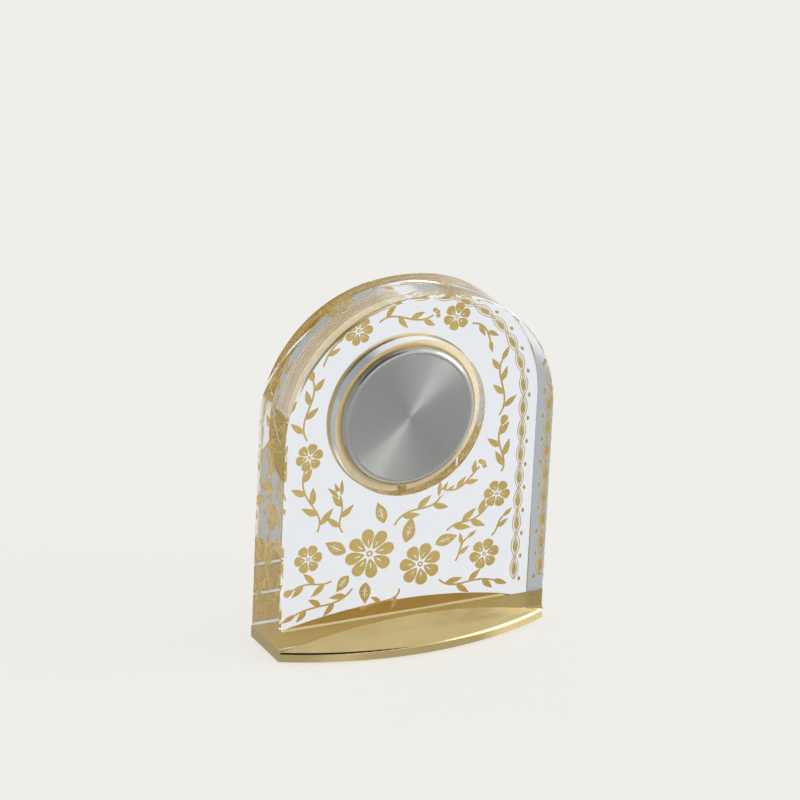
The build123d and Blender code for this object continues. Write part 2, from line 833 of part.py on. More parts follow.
# Grip ring: clear sleeve with fins that hold the clock in the recess, notched for the crown
grip_radius = recess_radius - grip_fit
fin_step = (grip_front - grip_back - grip_fin) / (grip_fin_count - 1)
with BuildPart() as grip_ring:
    sleeve = disc(grip_back, drum_radius + grip_sleeve, hole=drum_radius)
    extrude(sleeve, amount=grip_front - grip_back)
    for fin in range(grip_fin_count):
        extrude(disc(grip_back + fin * fin_step, grip_radius, hole=drum_radius), amount=grip_fin)
    with BuildSketch(stem_plane):
        Rectangle(2 * (knob_radius + crown_gap), 4 * recess_depth)
    extrude(amount=recess_radius, mode=Mode.SUBTRACT)
grip_ring.part.label = "grip_ring"
export_step(grip_ring.part, "parts/grip_ring.step")

# Setting stem with its groove, the fluted crown on its end and the piece that holds the groove
stem_length = drum_radius + crown_gap - stem_inner_reach
with BuildPart() as stem:
    with BuildSketch(stem_plane):
        Circle(stem_radius)
    extrude(amount=stem_length + crown_length / 2)
    with BuildSketch(stem_plane.offset(stem_groove_length)):
        Circle(stem_radius)
        Circle(stem_radius - stem_groove, mode=Mode.SUBTRACT)
    extrude(amount=stem_groove_length, mode=Mode.SUBTRACT)
stem.part.label = "stem"
export_step(stem.part, "parts/stem.step")

with BuildPart() as crown:
    with BuildSketch(stem_plane.offset(stem_length)):
        Circle(knob_radius)
        with PolarLocations(knob_radius, crown_flutes):
            Circle(flute_radius, mode=Mode.SUBTRACT)
    extrude(amount=crown_length)
    with BuildSketch(stem_plane.offset(stem_length)):
        Circle(stem_radius)
    extrude(amount=crown_length / 2, mode=Mode.SUBTRACT)
crown.part.label = "crown"
export_step(crown.part, "parts/crown.step")

with BuildPart() as pull_piece:
    with BuildSketch(stem_plane.offset(stem_groove_length + train_gap)):
        with Locations((stem_radius - stem_groove + running_fit, 0)):
            Rectangle(pull_piece_length, pull_piece_width / 2, align=(Align.MIN, Align.CENTER))
    extrude(amount=stem_groove_length - 2 * train_gap)
pull_piece.part.label = "pull_piece"
export_step(pull_piece.part, "parts/pull_piece.step")
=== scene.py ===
"""Looks of the arched crystal table clock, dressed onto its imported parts, in metres."""
import json
from math import atan2, cos, degrees, pi, radians, sin, sqrt, tan

import bpy
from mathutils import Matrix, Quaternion, Vector


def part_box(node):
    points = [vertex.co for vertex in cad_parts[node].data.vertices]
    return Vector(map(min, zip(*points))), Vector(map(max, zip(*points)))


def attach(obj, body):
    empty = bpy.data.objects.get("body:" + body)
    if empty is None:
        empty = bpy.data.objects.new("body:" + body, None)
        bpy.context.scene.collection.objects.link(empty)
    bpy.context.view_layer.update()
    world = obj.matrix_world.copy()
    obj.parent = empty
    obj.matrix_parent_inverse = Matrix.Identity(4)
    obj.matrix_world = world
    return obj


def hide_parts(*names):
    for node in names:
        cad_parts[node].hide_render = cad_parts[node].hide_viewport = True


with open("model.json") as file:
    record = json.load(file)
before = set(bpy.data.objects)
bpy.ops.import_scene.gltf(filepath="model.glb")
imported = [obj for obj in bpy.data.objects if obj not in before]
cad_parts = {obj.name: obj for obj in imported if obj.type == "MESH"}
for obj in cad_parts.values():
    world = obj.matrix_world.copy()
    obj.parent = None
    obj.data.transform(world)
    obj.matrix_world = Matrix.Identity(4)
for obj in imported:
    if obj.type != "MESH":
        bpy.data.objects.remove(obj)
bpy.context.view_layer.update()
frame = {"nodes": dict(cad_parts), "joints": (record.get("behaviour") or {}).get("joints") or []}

scene = bpy.context.scene
mm = 0.001

# Base casting: a zinc plate with two bowed, domed lips, polished and gilt.
# The plating is bright, with the faint waves and haze that polishing leaves.
gilt_pale = (0.87, 0.69, 0.34)
gilt_deep = (0.83, 0.64, 0.29)
wave_height = 0.02 * mm
pattern_low = 0.3
pattern_high = 0.7


def new_surface(name, colour, roughness, metallic=0.0):
    """New material with the plain values of its shader set."""
    surface = bpy.data.materials.new(name)
    surface.use_nodes = True
    tree = surface.node_tree
    shader = tree.nodes["Principled BSDF"]
    shader.inputs["Base Color"].default_value = (*colour, 1)
    shader.inputs["Metallic"].default_value = metallic
    shader.inputs["Roughness"].default_value = roughness
    return surface, tree, shader


def grain(tree, scale, detail=3.0, stretch=(1, 1, 1)):
    """Noise on the piece's own coordinates; scale is in spots per metre."""
    place = tree.nodes.new("ShaderNodeTexCoord")
    mapping = tree.nodes.new("ShaderNodeMapping")
    mapping.inputs["Scale"].default_value = stretch
    noise = tree.nodes.new("ShaderNodeTexNoise")
    noise.inputs["Scale"].default_value = scale
    noise.inputs["Detail"].default_value = detail
    tree.links.new(place.outputs["Object"], mapping.inputs["Vector"])
    tree.links.new(mapping.outputs["Vector"], noise.inputs["Vector"])
    return noise.outputs["Fac"]


def tint(tree, pattern, dark, light, socket):
    """Colour a socket between two colours by the middle range of a pattern."""
    ramp = tree.nodes.new("ShaderNodeValToRGB")
    ramp.color_ramp.elements[0].position = pattern_low
    ramp.color_ramp.elements[1].position = pattern_high
    ramp.color_ramp.elements[0].color = (*dark, 1)
    ramp.color_ramp.elements[1].color = (*light, 1)
    tree.links.new(pattern, ramp.inputs["Fac"])
    tree.links.new(ramp.outputs["Color"], socket)


def mottle(tree, shader, pattern, dark, light):
    """Colour a surface between two colours by a pattern."""
    tint(tree, pattern, dark, light, shader.inputs["Base Color"])


def spread(tree, pattern, low, high, socket):
    """Run a socket between two values by the middle range of a pattern."""
    span = tree.nodes.new("ShaderNodeMapRange")
    span.inputs["From Min"].default_value = pattern_low
    span.inputs["From Max"].default_value = pattern_high
    span.inputs["To Min"].default_value = low
    span.inputs["To Max"].default_value = high
    tree.links.new(pattern, span.inputs["Value"])
    tree.links.new(span.outputs["Result"], socket)


def emboss(tree, shader, pattern, height):
    """Raise the surface by a pattern, up to a height."""
    bump = tree.nodes.new("ShaderNodeBump")
    bump.inputs["Distance"].default_value = height
    tree.links.new(pattern, bump.inputs["Height"])
    tree.links.new(bump.outputs["Normal"], shader.inputs["Normal"])


def dress(surface, *names):
    """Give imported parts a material."""
    for name in names:
        surfaces = frame["nodes"][name].data.materials
        surfaces.clear()
        surfaces.append(surface)


gilt_base, tree, shader = new_surface("gilt_base", gilt_pale, metallic=1.0, roughness=0.1)
mottle(tree, shader, grain(tree, 90), gilt_deep, gilt_pale)
spread(tree, grain(tree, 600), 0.07, 0.15, shader.inputs["Roughness"])
emboss(tree, shader, grain(tree, 45, detail=1.0), wave_height)
dress(gilt_base, "base_casting")

# Seat of the base: the part of the casting that is cemented to the glass, left matte.
# It shows through the glass as a deeper gold than the polished lips.
seat_low, seat_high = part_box("glass_block")
seat_skin = 0.02 * mm
seat_metal = 0.5
seat_roughness = 0.5
seat_dark = (0.57, 0.42, 0.10)
seat_light = (0.63, 0.47, 0.125)


def worked(tree, operation, first, second=0.0):
    """Outcome of a sum on a socket and, where it takes two, another socket or a number."""
    node = tree.nodes.new("ShaderNodeMath")
    node.operation = operation
    tree.links.new(first, node.inputs[0])
    if isinstance(second, float):
        node.inputs[1].default_value = second
    else:
        tree.links.new(second, node.inputs[1])
    return node.outputs["Value"]


place = tree.nodes.new("ShaderNodeTexCoord")
parts = tree.nodes.new("ShaderNodeSeparateXYZ")
tree.links.new(place.outputs["Object"], parts.inputs["Vector"])
from_seat = worked(tree, "ABSOLUTE", worked(tree, "SUBTRACT", parts.outputs["Z"], seat_low.z))
from_middle = worked(tree, "ABSOLUTE", parts.outputs["Y"])
level = worked(tree, "LESS_THAN", from_seat, seat_skin)
between = worked(tree, "LESS_THAN", from_middle, seat_high.y + seat_skin)
on_seat = worked(tree, "MULTIPLY", between, level)
polished = shader.inputs["Base Color"].links[0].from_socket
buffed = shader.inputs["Roughness"].links[0].from_socket
plating = tree.nodes.new("ShaderNodeMixRGB")
tree.links.new(on_seat, plating.inputs["Fac"])
tree.links.new(polished, plating.inputs["Color1"])
tint(tree, grain(tree, 1500, detail=5.0), seat_dark, seat_light, plating.inputs["Color2"])
tree.links.new(plating.outputs["Color"], shader.inputs["Base Color"])
spread(tree, on_seat, 1.0, seat_metal, shader.inputs["Metallic"])
matte = worked(tree, "MAXIMUM", buffed, worked(tree, "MULTIPLY", on_seat, seat_roughness))
tree.links.new(matte, shader.inputs["Roughness"])

# Pad: a thin sheet of dark felt glued under the casting.
# Short fibres give it a soft, uneven nap.
nap_height = 0.1 * mm
nap_sheen = 0.3
felt, tree, shader = new_surface("felt", (0.02, 0.02, 0.025), roughness=0.95)
shader.inputs["Sheen Weight"].default_value = nap_sheen
fibre = grain(tree, 3000, detail=6.0)
mottle(tree, shader, fibre, (0.012, 0.012, 0.015), (0.04, 0.04, 0.045))
emboss(tree, shader, fibre, nap_height)
dress(felt, "base_pad")

# Glass block: clear optical glass, sawn, arched and polished, with a blind recess in its front.
# It is cemented to the gilt seat and printed on its front, so both show with no air between.
# The arch is drawn in by the little that these radii rise above the block's box.
cement = 0.02 * mm
touching = 0.1 * cement
arris = 0.6 * mm
recess_radius = 28.0 * mm
recess_depth = 7.5 * mm
shoulder_offset = 3.5 * mm
crown_gain = 20.0 * mm
arch_steps = 240
recess_steps = 240
weld = 0.001 * mm
crease = radians(20)
glass_index = 1.51
glass_low, glass_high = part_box("glass_block")
dial_axis = next(Vector(joint["pos_m"]) for joint in frame["joints"] if joint["name"] == "seconds_turn")
shoulder_radius = glass_high.x - shoulder_offset
crown_radius = shoulder_radius + crown_gain
crown_drop = sqrt(crown_gain**2 - shoulder_offset**2)
shoulder_sweep = atan2(crown_drop, shoulder_offset)
over_box = dial_axis.z - crown_drop + crown_radius - glass_high.z


def arch_point(turn, inset):
    """Point of the arch, across and up, at an angle from its right spring."""
    if turn > pi / 2:
        across, up = arch_point(pi - turn, inset)
        return (-across, up)
    if turn < shoulder_sweep:
        reach = shoulder_radius - inset
        return (shoulder_offset + reach * cos(turn), dial_axis.z + reach * sin(turn))
    reach = crown_radius - inset
    return (reach * cos(turn), dial_axis.z - crown_drop + reach * sin(turn))


def select_only(piece):
    """Select one object and make it the active one."""
    bpy.ops.object.select_all(action="DESELECT")
    piece.select_set(True)
    bpy.context.view_layer.objects.active = piece


arch_corners = [arch_point(pi * step / arch_steps, over_box) for step in range(arch_steps + 1)]
arch_corners += [(glass_low.x, glass_low.z), (glass_high.x, glass_low.z)]
blank = bpy.data.curves.new("crystal_block", "CURVE")
blank.dimensions = "2D"
blank.fill_mode = "BOTH"
blank.extrude = glass_high.y - arris
blank.bevel_depth = arris
blank.bevel_resolution = 0
blank.offset = -arris
edge = blank.splines.new("POLY")
edge.points.add(len(arch_corners) - 1)
edge.use_cyclic_u = True
for corner, (across, up) in zip(edge.points, arch_corners):
    corner.co = (across, up, 0, 1)
crystal = bpy.data.objects.new("crystal_block", blank)
scene.collection.objects.link(crystal)
select_only(crystal)
bpy.ops.object.convert(target="MESH")
crystal = bpy.context.view_layer.objects.active
crystal.rotation_euler = (radians(90), 0, 0)
bpy.ops.object.transform_apply(location=True, rotation=True, scale=True)
bpy.ops.object.mode_set(mode="EDIT")
bpy.ops.mesh.select_all(action="SELECT")
bpy.ops.mesh.remove_doubles(threshold=weld)
bpy.ops.mesh.normals_make_consistent(inside=False)
bpy.ops.object.mode_set(mode="OBJECT")

bpy.ops.object.select_all(action="DESELECT")
bpy.ops.mesh.primitive_cylinder_add(vertices=recess_steps, radius=recess_radius, depth=2 * recess_depth,
                                    location=(0, glass_low.y, dial_axis.z), rotation=(radians(90), 0, 0))
cutter = bpy.context.active_object
select_only(crystal)
recess = crystal.modifiers.new("recess", "BOOLEAN")
recess.operation = "DIFFERENCE"
recess.object = cutter
bpy.ops.object.modifier_apply(modifier=recess.name)
bpy.data.objects.remove(cutter)
for corner in crystal.data.vertices:
    if corner.co.y < glass_low.y + touching:
        corner.co.y -= cement
    if corner.co.z < glass_low.z + touching:
        corner.co.z -= cement
bpy.ops.object.shade_smooth_by_angle(angle=crease)

clear_glass, tree, shader = new_surface("clear_glass", (0.99, 0.997, 1.0), roughness=0.0)
shader.inputs["Transmission Weight"].default_value = 1.0
shader.inputs["IOR"].default_value = glass_index
mottle(tree, shader, grain(tree, 30), (0.985, 0.994, 1.0), (0.995, 1.0, 1.0))
crystal.data.materials.clear()
crystal.data.materials.append(clear_glass)
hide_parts("glass_block")
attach(crystal, "base")

# Print: gold ink in sprays of daisies, stars, tulips and leaves round the clock, on a clear film.
# Each is a flat outline as deep as the film, which shows from both sides of the glass.
film_low, film_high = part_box("print_film")
ink_step = 0.01 * mm
ink_layer = 0.002 * mm
ink_depth = film_high.y - film_low.y + 2 * ink_step
ink_middle = (film_high.y + film_low.y) / 2
outline_steps = 14
leaf_taper = 0.8
petal_full = 2.6
stem_width = 0.65
stem_steps = 16
spray_layers = 3
stem_layer = 3
daisy_layer = 4
leaf_layer = 5

gold_ink, tree, shader = new_surface("gold_ink", (0.76, 0.575, 0.187), metallic=0.5, roughness=0.38)
mottle(tree, shader, grain(tree, 700, detail=5.0), (0.73, 0.55, 0.172), (0.79, 0.60, 0.202))
spread(tree, grain(tree, 2500), 0.33, 0.43, shader.inputs["Roughness"])


def leaf_form(along):
    """Half width of a pointed leaf at a share of its length."""
    return sin(pi * along**leaf_taper)


def petal_form(along):
    """Half width of a round-tipped petal at a share of its length."""
    return petal_full * along * sqrt(1 - along)


def put(foot, aim, along, across):
    """Point along and across from a foot, turned to an angle in degrees."""
    turn = radians(aim)
    return (foot[0] + along * cos(turn) - across * sin(turn),
            foot[1] + along * sin(turn) + across * cos(turn))


def outline(form, foot, aim, length, width, bend=0.0):
    """Closed outline of a form that grows from a foot, in millimetres across and up."""
    shares = [(1 - cos(pi * step / outline_steps)) / 2 for step in range(outline_steps + 1)]
    one_side = [put(foot, aim, length * t, bend * length * t * t + width / 2 * form(t)) for t in shares]
    other = [put(foot, aim, length * t, bend * length * t * t - width / 2 * form(t)) for t in shares]
    return one_side + other[-2:0:-1]


def round_outline(centre, radius):
    """Circle as a closed outline."""
    return [put(centre, 360 * step / outline_steps, radius, 0) for step in range(outline_steps)]


def strip(points, width):
    """Closed outline of a drawn line of one width."""
    one_side = []
    other = []
    for number, point in enumerate(points):
        before = points[max(number - 1, 0)]
        after = points[min(number + 1, len(points) - 1)]
        aim = degrees(atan2(after[1] - before[1], after[0] - before[0]))
        one_side.append(put(point, aim, 0, width / 2))
        other.append(put(point, aim, 0, -width / 2))
    return one_side + other[::-1]


# Blossoms, in shares of their radius: a ring in the middle, then petals with a slit in each.
eye_radius = 0.13
eye_hole = 0.06
petal_foot = 0.2
petal_length = 0.8
petal_widest = 0.733
petal_fill = 0.82
slit_foot = 0.34
slit_length = 0.3
slit_width = 0.05


def blossom(centre, radius, petals, turn):
    """Petals with a slit in each, round a small ring."""
    outlines = [round_outline(centre, eye_radius * radius), round_outline(centre, eye_hole * radius)]
    width = 2 * petal_widest * radius * tan(pi / petals) * petal_fill
    for petal in range(petals):
        aim = turn + 360 * petal / petals
        foot = put(centre, aim, petal_foot * radius, 0)
        outlines.append(outline(petal_form, foot, aim, petal_length * radius, width))
        foot = put(centre, aim, slit_foot * radius, 0)
        outlines.append(outline(leaf_form, foot, aim, slit_length * radius, slit_width * radius))
    return outlines


# Tulips, in shares of their length, with the lean of the outer petals in degrees.
cup_half = 0.13
cup_lean = 17
cup_petal = 0.27
cup_bend = 0.1


def tulip(foot, aim, length):
    """Cup of three petals that part from one foot."""
    return [outline(leaf_form, put(foot, aim, 0, cup_half * length * side), aim + cup_lean * side,
                    length, cup_petal * length, cup_bend * side) for side in (-1, 0, 1)]


# Veins: where they start and how far they run, as shares of the leaf, with widths in millimetres.
vein_start = 0.14
vein_length = 0.66
vein_width = 0.4
side_vein_shares = (0.32, 0.5)
side_vein_lean = 50
side_vein_gap = 0.45
side_vein_aim = 45
side_vein_length = 0.26
side_vein_width = 0.28


def veined_leaf(foot, aim, length, width, bend):
    """Leaf with its veins left open."""
    outlines = [outline(leaf_form, foot, aim, length, width, bend)]
    start = put(foot, aim, vein_start * length, 0)
    outlines.append(outline(leaf_form, start, aim, vein_length * length, vein_width, bend))
    for share in side_vein_shares:
        middle = put(foot, aim, share * length, bend * length * share * share)
        for side in (-1, 1):
            start = put(middle, aim + side_vein_lean * side, side_vein_gap, 0)
            outlines.append(outline(leaf_form, start, aim + side_vein_aim * side,
                                    side_vein_length * width, side_vein_width))
    return outlines


def stem_place(stem, along):
    """Point and heading on a stem, which is one smooth pull between four points."""
    rest = 1 - along
    pulls = (rest**3, 3 * rest**2 * along, 3 * rest * along**2, along**3)
    turns = (-rest**2, rest**2 - 2 * rest * along, 2 * rest * along - along**2, along**2)
    point = [sum(pull * mark[axis] for pull, mark in zip(pulls, stem)) for axis in (0, 1)]
    heading = [sum(turn * mark[axis] for turn, mark in zip(turns, stem)) for axis in (0, 1)]
    return point, degrees(atan2(heading[1], heading[0]))


def print_on_glass(name, outlines, layer):
    """Flat outlines laid on the front of the glass as seen from behind; one inside another is a gap."""
    sheet = bpy.data.curves.new(name, "CURVE")
    sheet.dimensions = "2D"
    sheet.fill_mode = "BOTH"
    sheet.extrude = ink_depth / 2 + layer * ink_layer
    for points in outlines:
        spline = sheet.splines.new("POLY")
        spline.points.add(len(points) - 1)
        spline.use_cyclic_u = True
        for corner, (across, up) in zip(spline.points, points):
            corner.co = (across * mm, up * mm, 0, 1)
    ink = bpy.data.objects.new(name, sheet)
    scene.collection.objects.link(ink)
    select_only(ink)
    bpy.ops.object.convert(target="MESH")
    ink = bpy.context.view_layer.objects.active
    ink.rotation_euler = (radians(90), 0, radians(180))
    ink.location = (0, ink_middle, 0)
    bpy.ops.object.transform_apply(location=True, rotation=True, scale=True)
    ink.data.materials.clear()
    ink.data.materials.append(gold_ink)
    return ink


def join_prints(name, prints):
    """One printed piece of several, fixed to the glass."""
    bpy.ops.object.select_all(action="DESELECT")
    for ink in prints:
        ink.select_set(True)
    bpy.context.view_layer.objects.active = prints[0]
    bpy.ops.object.join()
    piece = bpy.context.view_layer.objects.active
    piece.name = name
    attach(piece, "base")
    return piece


# Stems as foot, two pulls and tip, in millimetres across and up, then leaves, leaf length and tip.
sprays = (
    (((-2, 38), (2, 46), (12, 40), (15, 46)), 3, 7.0, "tulip"),
    (((-21.5, 38.5), (-25, 43), (-20, 45), (-23, 52)), 3, 6.6, "tulip"),
    (((18, 33), (24, 38), (27, 32), (33.5, 40)), 4, 7.2, "star"),
    (((38, 52), (41, 57), (34, 62), (37, 69)), 4, 6.8, "bud"),
    (((36, 73), (41, 80), (33, 87), (36, 93)), 4, 6.2, "none"),
    (((-25, 21), (-30, 19), (-33, 23), (-39, 20)), 3, 6.6, "bud"),
    (((-31, 40), (-27, 48), (-40, 52), (-36.5, 63)), 5, 7.2, "star"),
    (((-36, 74), (-41, 81), (-32, 88), (-34.5, 95)), 4, 6.6, "bud"),
    (((-31, 100), (-30, 103), (-29, 105), (-26.5, 107.5)), 1, 5.0, "none"),
    (((-11, 113), (-5, 118), (2, 109), (9, 113)), 4, 6.0, "berries"),
    (((24, 108), (28, 108), (30, 105), (31, 101)), 2, 5.2, "none"),
    (((16, 15), (22, 9), (28, 15), (37, 11.5)), 4, 6.6, "none"),
    (((-17, 17), (-22, 10), (-30, 14), (-38, 10.5)), 4, 6.4, "none"),
    (((1, 14), (1, 9), (-6, 11), (-11, 9.5)), 2, 4.8, "bud"),
    (((35.5, 28.5), (38, 30), (37, 33), (39.5, 35)), 1, 5.0, "none"),
    (((19, 48), (23, 47), (26, 52), (29.5, 55)), 3, 5.4, "berries"),
    (((22, 21), (24, 24), (23, 27), (26, 29)), 2, 4.8, "none"),
)
# Daisies as middle, radius, petals and turn.
daisies = (
    ((-11, 29), 9.2, 8, 8),
    ((8.5, 22), 7.8, 7, 20),
    ((-34, 30.5), 5.2, 6, 5),
    ((18, 111.3), 5.0, 6, 14),
    ((-18.5, 111), 5.2, 7, 0),
    ((33, 22), 5.6, 6, 10),
)
# Broad leaves as foot, heading, length, width and bend.
broad_leaves = (
    ((2.5, 31), 72, 9.5, 5.0, 0.1),
    ((-20, 31), 155, 9, 4.8, -0.1),
    ((-12, 18.5), 265, 8, 4.4, 0.1),
    ((14, 28.5), 20, 8.5, 4.4, -0.1),
    ((-6, 39.5), 105, 8.5, 4.2, 0.08),
    ((-18.5, 22), 225, 7, 4.0, 0.1),
)
# Leaves and tips of a spray, in shares of its leaf length. Leans are in degrees, berries in millimetres.
first_leaf = 0.6
last_gap = 0.3
leaf_lean = 44
leaf_shrink = 0.05
leaf_width = 0.34
leaf_bend = 0.12
tip_length = 0.9
tip_width = 0.3
bud_length = 0.6
bud_width = 0.4
tulip_length = 0.85
star_radius = 0.7
star_petals = 6
berry_lean = 40
berry_stalk = 1.9
berry_radius = 0.85

prints = []
for number, (stem, leaves, length, tip) in enumerate(sprays):
    outlines = []
    for leaf in range(leaves):
        point, heading = stem_place(stem, (leaf + first_leaf) / (leaves + last_gap))
        side = 1 if (leaf + number) % 2 else -1
        outlines.append(outline(leaf_form, point, heading + leaf_lean * side,
                                length * (1 - leaf_shrink * leaf), leaf_width * length, -leaf_bend * side))
    point, heading = stem_place(stem, 1.0)
    if tip == "none":
        outlines.append(outline(leaf_form, point, heading, tip_length * length, tip_width * length))
    elif tip == "bud":
        outlines.append(outline(petal_form, point, heading, bud_length * length, bud_width * length))
    elif tip == "tulip":
        outlines.extend(tulip(point, heading, tulip_length * length))
    elif tip == "star":
        centre = put(point, heading, star_radius * length, 0)
        outlines.extend(blossom(centre, star_radius * length, star_petals, heading + 180))
    elif tip == "berries":
        for fork in (-berry_lean, 0, berry_lean):
            outlines.append(round_outline(put(point, heading + fork, berry_stalk, 0), berry_radius))
    prints.append(print_on_glass(f"spray_{number}", outlines, number % spray_layers))
    run = [stem_place(stem, step / stem_steps)[0] for step in range(stem_steps + 1)]
    prints.append(print_on_glass(f"stem_{number}", [strip(run, stem_width)], stem_layer))
for number, daisy in enumerate(daisies):
    prints.append(print_on_glass(f"daisy_{number}", blossom(*daisy), daisy_layer))
for number, leaf in enumerate(broad_leaves):
    prints.append(print_on_glass(f"leaf_{number}", veined_leaf(*leaf), leaf_layer))
flowers = join_prints("printed_flowers", prints)
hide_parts("print_film")

# Chain border: two crossing ribbons that make eyes, printed in fine gold lines.
# It follows the arch a little inside its edge, with a gold seed in each eye and diamonds outside.
border_inset = 5.0
link_length = 8.7
ribbon_swing = 1.25
ribbon_half = 0.36
line_width = 0.24
line_steps = 10
seed_start = 0.2
seed_end = 0.8
seed_width = 1.3
diamond_reach = 2.1
diamond_length = 1.9
diamond_width = 1.1
border_layer = 6
seed_layer = 10
border_foot = 10.5
side_run = dial_axis.z / mm - border_foot
shoulder_reach = shoulder_radius / mm - border_inset
crown_reach = crown_radius / mm - border_inset
shoulder_run = shoulder_reach * shoulder_sweep
half_run = side_run + shoulder_run + crown_reach * (pi / 2 - shoulder_sweep)
links = 2 * round(half_run / link_length)
link_run = 2 * half_run / links


def border_point(run, outwards):
    """Point of the border at a run from its right foot, moved outwards from its middle line."""
    if run > half_run:
        across, up = border_point(2 * half_run - run, outwards)
        return (-across, up)
    inset = border_inset - outwards
    if run < side_run:
        return (glass_high.x / mm - inset, border_foot + run)
    turn = (run - side_run) / shoulder_reach
    if turn > shoulder_sweep:
        turn = shoulder_sweep + (run - side_run - shoulder_run) / crown_reach
    across, up = arch_point(turn, inset * mm)
    return (across / mm, up / mm)


border = []
for layer, (swing, shift) in enumerate(((1, 1), (1, -1), (-1, 1), (-1, -1))):
    run = []
    for step in range(links * line_steps + 1):
        sway = swing * ribbon_swing * sin(pi * step / line_steps) + shift * ribbon_half
        run.append(border_point(link_run * step / line_steps, sway))
    border.append(print_on_glass(f"border_line_{layer}", [strip(run, line_width)], border_layer + layer))
seeds = []
diamonds = []
for link in range(links):
    low = border_point(link_run * (link + seed_start), 0)
    high = border_point(link_run * (link + seed_end), 0)
    aim = degrees(atan2(high[1] - low[1], high[0] - low[0]))
    seeds.append(outline(leaf_form, low, aim, (seed_end - seed_start) * link_run, seed_width))
    foot = put(border_point(link_run * link, diamond_reach), aim, -diamond_length / 2, 0)
    diamonds.append(outline(leaf_form, foot, aim, diamond_length, diamond_width))
border.append(print_on_glass("border_seeds", seeds, seed_layer))
border.append(print_on_glass("border_diamonds", diamonds, seed_layer))
join_prints("printed_border", border)

# Clock case: a spun brass drum with a flange, a bezel pressed over it, a sloping ring and the crown.
# All are gilt and polished, with a slight haze on the plating.
gilt_case, tree, shader = new_surface("gilt_case", gilt_pale, metallic=1.0, roughness=0.14)
mottle(tree, shader, grain(tree, 200), gilt_deep, gilt_pale)
spread(tree, grain(tree, 1500), 0.1, 0.2, shader.inputs["Roughness"])
dress(gilt_case, "case_drum", "bezel", "rehaut", "crown")

# Lens and soft rings: a flat mineral glass in a white nylon gasket, and a like gasket at the back.
# A hazy silicone ring with fins grips the clock in the recess.
lens_index = 1.5
silicone_index = 1.41
silicone_clear = 0.2
lens_glass, tree, shader = new_surface("lens_glass", (1, 1, 1), roughness=0.0)
shader.inputs["Transmission Weight"].default_value = 1.0
shader.inputs["IOR"].default_value = lens_index
mottle(tree, shader, grain(tree, 40), (0.985, 0.995, 0.995), (1, 1, 1))
lens_low, lens_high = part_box("lens")
lens_gap = 0.02 * mm
lens_arris = 0.15 * mm
bpy.ops.object.select_all(action="DESELECT")
bpy.ops.mesh.primitive_cylinder_add(vertices=recess_steps, radius=lens_high.x - lens_gap,
                                    depth=lens_high.y - lens_low.y - 2 * lens_gap,
                                    location=(lens_low + lens_high) / 2, rotation=(radians(90), 0, 0))
watch_glass = bpy.context.active_object
watch_glass.name = "watch_glass"
bpy.ops.object.transform_apply(location=True, rotation=True, scale=True)
worn = watch_glass.modifiers.new("arris", "BEVEL")
worn.width = lens_arris
worn.segments = 1
bpy.ops.object.modifier_apply(modifier=worn.name)
bpy.ops.object.shade_smooth_by_angle(angle=crease)
watch_glass.data.materials.append(lens_glass)
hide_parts("lens")
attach(watch_glass, "clock")

nylon, tree, shader = new_surface("nylon", (0.8, 0.8, 0.77), roughness=0.5)
mottle(tree, shader, grain(tree, 800), (0.76, 0.76, 0.73), (0.84, 0.84, 0.81))
dress(nylon, "lens_gasket", "back_gasket")

silicone, tree, shader = new_surface("silicone", (0.95, 0.84, 0.60), roughness=0.5)
shader.inputs["Transmission Weight"].default_value = silicone_clear
shader.inputs["IOR"].default_value = silicone_index
mottle(tree, shader, grain(tree, 500), (0.93, 0.81, 0.56), (0.97, 0.87, 0.64))
dress(silicone, "grip_ring")

# Dial: a brass disc in satin ivory lacquer, with a printed minute track.
# Applied batons stand at the hours, faceted and gilt.
ivory, tree, shader = new_surface("ivory", (0.86, 0.84, 0.78), roughness=0.4)
mottle(tree, shader, grain(tree, 1200, detail=5.0), (0.84, 0.82, 0.755), (0.88, 0.865, 0.81))
spread(tree, grain(tree, 600), 0.32, 0.45, shader.inputs["Roughness"])
dress(ivory, "dial")

dial_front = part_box("dial")[0].y
marker_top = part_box("hour_marker_12")[1].z
track_gap = 1.4 * mm
track_radius = marker_top - dial_axis.z + track_gap
tick_width = 0.22 * mm
tick_length = 1.1 * mm
track_ink = 0.02 * mm
minutes = 60
bpy.ops.object.select_all(action="DESELECT")
bpy.ops.mesh.primitive_cube_add(size=1, scale=(tick_width, track_ink, tick_length),
                                location=(0, dial_front - track_ink / 2, dial_axis.z + track_radius))
minute_track = bpy.context.active_object
minute_track.name = "minute_track"
bpy.ops.object.transform_apply(location=True, rotation=True, scale=True)
bpy.ops.object.mode_set(mode="EDIT")
bpy.ops.mesh.select_all(action="SELECT")
bpy.ops.mesh.spin(steps=minutes, dupli=True, angle=2 * pi,
                  center=(0, dial_front, dial_axis.z), axis=(0, 1, 0))
bpy.ops.mesh.select_all(action="SELECT")
bpy.ops.mesh.remove_doubles(threshold=weld)
bpy.ops.mesh.normals_make_consistent(inside=False)
bpy.ops.object.mode_set(mode="OBJECT")
track_black, tree, shader = new_surface("track_black", (0.03, 0.03, 0.03), roughness=0.5)
mottle(tree, shader, grain(tree, 2000), (0.02, 0.02, 0.02), (0.045, 0.042, 0.04))
minute_track.data.materials.append(track_black)
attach(minute_track, "clock")

gilt_marks, tree, shader = new_surface("gilt_marks", gilt_pale, metallic=1.0, roughness=0.16)
mottle(tree, shader, grain(tree, 400), gilt_deep, gilt_pale)
spread(tree, grain(tree, 2500), 0.12, 0.22, shader.inputs["Roughness"])
dress(gilt_marks, *(f"hour_marker_{hour:02d}" for hour in range(1, 13)))

